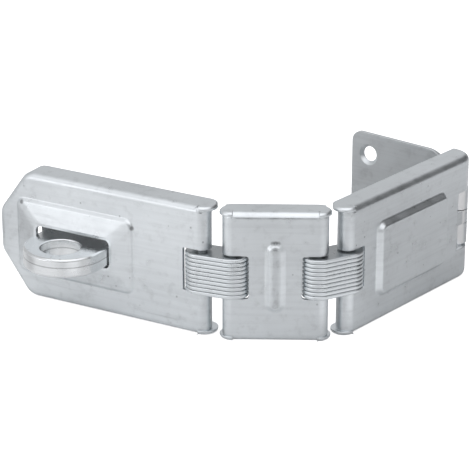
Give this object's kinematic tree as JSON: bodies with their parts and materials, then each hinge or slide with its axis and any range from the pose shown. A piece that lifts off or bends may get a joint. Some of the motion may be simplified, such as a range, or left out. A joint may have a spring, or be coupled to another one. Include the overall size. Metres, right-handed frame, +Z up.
{
  "type": "padlock hasp",
  "caption": "Folding steel padlock hasp: hinged plates joined by laminated links, a slotted end over a shackle staple, and a screw-on hinge leaf.",
  "frame": {"origin": "middle of the mounting leaf's screw holes, on the leaf's back face that lies against the wall", "axes": "+Y out of the leaf's back into the wall, +Z up along the hinge pins, +X from the screw holes towards the leaf's hinge"},
  "size_m": [0.1195, 0.1323, 0.0453],
  "materials": {
    "plates": "bright zinc-plated pressed steel",
    "leaf": "bright zinc-plated sheet steel",
    "strap": "bright zinc-plated sheet steel",
    "links": "zinc-plated stamped laminations",
    "pins": "plain zinc-plated steel",
    "eye": "smooth bright zinc-plated forged steel",
    "base": "bright zinc-plated sheet steel"
  },
  "bodies": {
    "leaf": {"mounting_leaf": "leaf", "leaf_pin": "pins"},
    "right_plate": {"right_plate": "plates", "hinge_strap": "strap", "link_pin_4": "pins"},
    "right_link": {"right_link_plate_01": "links", "right_link_plate_02": "links", "right_link_plate_03": "links", "right_link_plate_04": "links", "right_link_plate_05": "links", "right_link_plate_06": "links", "right_link_plate_07": "links", "right_link_plate_08": "links", "right_link_plate_09": "links", "right_link_plate_10": "links"},
    "middle_plate": {"middle_plate": "plates", "link_pin_2": "pins", "link_pin_3": "pins"},
    "left_link": {"left_link_plate_01": "links", "left_link_plate_02": "links", "left_link_plate_03": "links", "left_link_plate_04": "links", "left_link_plate_05": "links", "left_link_plate_06": "links", "left_link_plate_07": "links", "left_link_plate_08": "links", "left_link_plate_09": "links", "left_link_plate_10": "links"},
    "left_plate": {"left_plate": "plates", "link_pin_1": "pins", "staple_eye": "eye", "staple_base": "base"}
  },
  "joints": [
    {"name": "leaf_hinge", "type": "hinge", "parent": "leaf", "child": "right_plate", "pos_m": [0.0259, -0.00355, 0], "axis": [0, 0, 1], "range_deg": [-90, 90]},
    {"name": "right_plate_link", "type": "hinge", "parent": "right_plate", "child": "right_link", "pos_m": [0.0276, -0.06965, 0], "axis": [0, 0, -1], "range_deg": [-102, 38]},
    {"name": "right_link_middle", "type": "hinge", "parent": "right_link", "child": "middle_plate", "pos_m": [0.02355, -0.07966, 0], "axis": [0, 0, -1], "range_deg": [-109.7, 30.3]},
    {"name": "middle_left_link", "type": "hinge", "parent": "middle_plate", "child": "left_link", "pos_m": [0.00174, -0.09689, 0], "axis": [0, 0, 1], "range_deg": [-20, 100]},
    {"name": "left_link_plate", "type": "hinge", "parent": "left_link", "child": "left_plate", "pos_m": [-0.00852, -0.10028, 0], "axis": [0, 0, 1], "range_deg": [-32, 88]}
  ]
}
